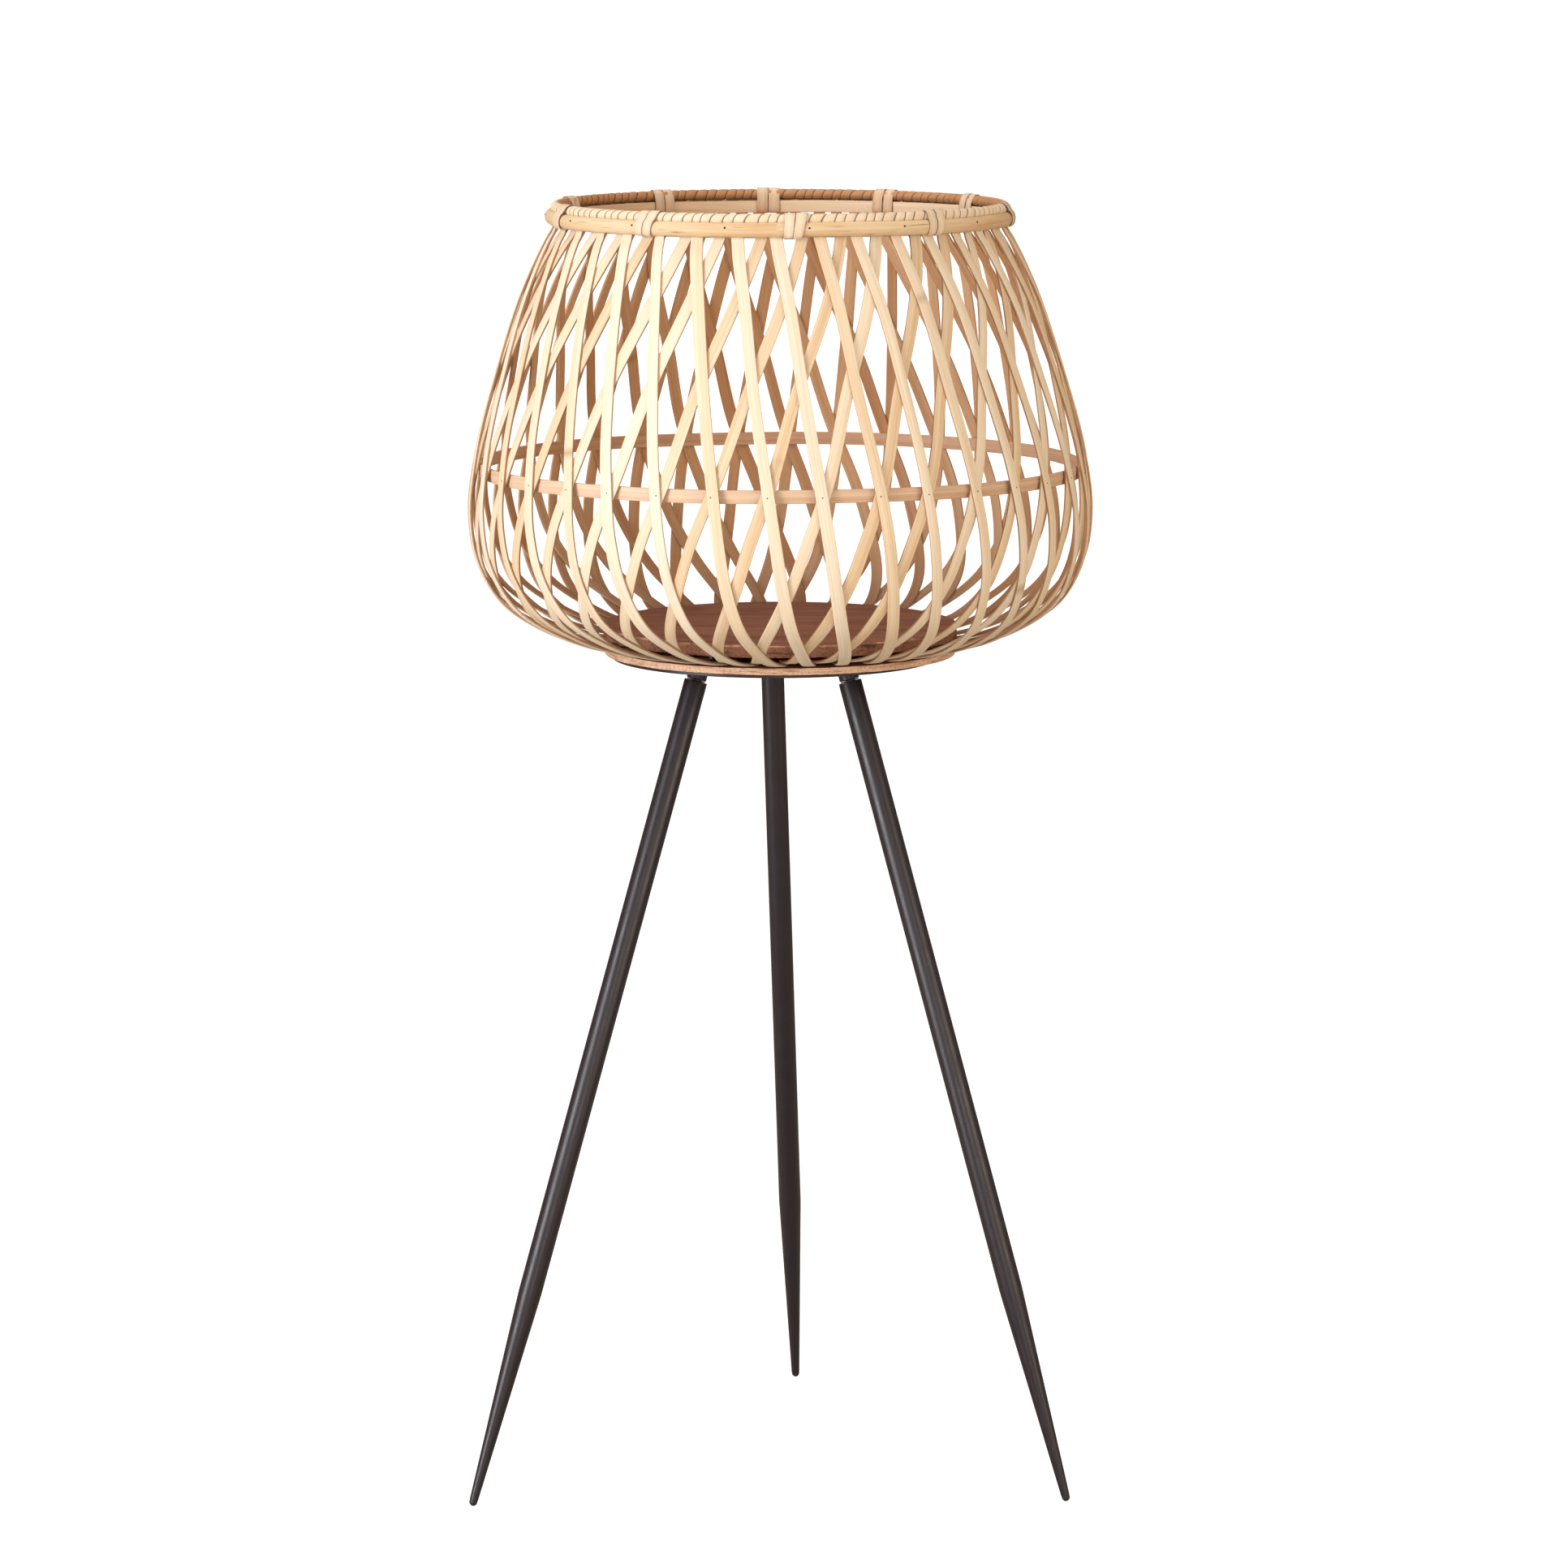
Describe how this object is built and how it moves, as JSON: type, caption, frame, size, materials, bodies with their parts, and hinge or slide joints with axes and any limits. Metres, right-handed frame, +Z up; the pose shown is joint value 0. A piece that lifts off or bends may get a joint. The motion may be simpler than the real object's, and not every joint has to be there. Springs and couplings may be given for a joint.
{
  "type": "basket floor stand",
  "caption": "Open bamboo basket with slanted crossing strips and a wrapped rim, clamped to a round base on three splayed, tapered steel legs.",
  "frame": {"origin": "middle of the footprint's bounding box, on the floor", "axes": "+Z up, front towards -Y, +X to the right seen from the front"},
  "size_m": [0.4308, 0.4604, 0.8897],
  "materials": {
    "outer_bamboo": "split bamboo, smooth skin side, satin",
    "inner_bamboo": "split bamboo, satin",
    "rattan_peel": "rattan peel, satin",
    "rim_cane": "half-round cane, satin",
    "plywood": "stained plywood, raw edge",
    "black_steel": "satin powder coat",
    "bare_steel": "zinc plated",
    "black_plastic": "matt"
  },
  "bodies": {
    "basket": {"base_upper_disc": "plywood", "base_lower_disc": "plywood", "leg_plate": "black_steel", "clamp_screw_1": "bare_steel", "clamp_screw_2": "bare_steel", "clamp_screw_3": "bare_steel", "clamp_screw_4": "bare_steel", "clamp_screw_5": "bare_steel", "clamp_screw_6": "bare_steel", "leg_boss_1": "black_steel", "leg_boss_2": "black_steel", "leg_boss_3": "black_steel", "mid_hoop": "inner_bamboo", "rim_outer_cane": "rim_cane", "rim_inner_band": "rim_cane", "rim_coil_core": "rim_cane", "rim_coil_wrap": "rattan_peel", "rim_tie_01": "rattan_peel", "rim_tie_02": "rattan_peel", "rim_tie_03": "rattan_peel", "rim_tie_04": "rattan_peel", "rim_tie_05": "rattan_peel", "rim_tie_06": "rattan_peel", "rim_tie_07": "rattan_peel", "rim_tie_08": "rattan_peel", "rim_tie_09": "rattan_peel", "rim_tie_10": "rattan_peel", "outer_strips_1": "outer_bamboo", "outer_strips_2": "outer_bamboo", "outer_strips_3": "outer_bamboo", "outer_strips_4": "outer_bamboo", "outer_strips_5": "outer_bamboo", "outer_strips_6": "outer_bamboo", "inner_strips_1": "inner_bamboo", "inner_strips_2": "inner_bamboo", "inner_strips_3": "inner_bamboo", "inner_strips_4": "inner_bamboo", "inner_strips_5": "inner_bamboo", "inner_strips_6": "inner_bamboo"},
    "leg_1_washer": {"leg_washer_1": "bare_steel"},
    "leg_1": {"leg_tube_1": "black_steel", "leg_plug_1": "bare_steel", "leg_stud_1": "bare_steel", "leg_tip_1": "black_plastic"},
    "leg_2_washer": {"leg_washer_2": "bare_steel"},
    "leg_2": {"leg_tube_2": "black_steel", "leg_plug_2": "bare_steel", "leg_stud_2": "bare_steel", "leg_tip_2": "black_plastic"},
    "leg_3_washer": {"leg_washer_3": "bare_steel"},
    "leg_3": {"leg_tube_3": "black_steel", "leg_plug_3": "bare_steel", "leg_stud_3": "bare_steel", "leg_tip_3": "black_plastic"}
  },
  "joints": [
    {"name": "leg_1_travel", "type": "slide", "parent": "basket", "child": "leg_1_washer", "axis": [-0.2616, -0.1484, -0.9537], "range_m": [0, 0.01]},
    {"name": "leg_1_turn", "type": "hinge", "parent": "leg_1_washer", "child": "leg_1", "pos_m": [-0.0579, -0.04416, 0.56043], "axis": [-0.2616, -0.1484, -0.9537], "range_deg": [0, 2880]},
    {"name": "leg_2_travel", "type": "slide", "parent": "basket", "child": "leg_2_washer", "axis": [0.2561, -0.1242, -0.9586], "range_m": [0, 0.01]},
    {"name": "leg_2_turn", "type": "hinge", "parent": "leg_2_washer", "child": "leg_2", "pos_m": [0.048, -0.04636, 0.56043], "axis": [0.2561, -0.1242, -0.9586], "range_deg": [0, 2880]},
    {"name": "leg_3_travel", "type": "slide", "parent": "basket", "child": "leg_3_washer", "axis": [0.0287, 0.3082, -0.9509], "range_m": [0, 0.01]},
    {"name": "leg_3_turn", "type": "hinge", "parent": "leg_3_washer", "child": "leg_3", "pos_m": [-0.0055, 0.04664, 0.56043], "axis": [0.0287, 0.3082, -0.9509], "range_deg": [0, 2880]}
  ],
  "couplings": [
    {"joint": "leg_1_turn", "follows": "leg_1_travel", "rad_per_m": 5026.5},
    {"joint": "leg_2_turn", "follows": "leg_2_travel", "rad_per_m": 5026.5},
    {"joint": "leg_3_turn", "follows": "leg_3_travel", "rad_per_m": 5026.5}
  ]
}
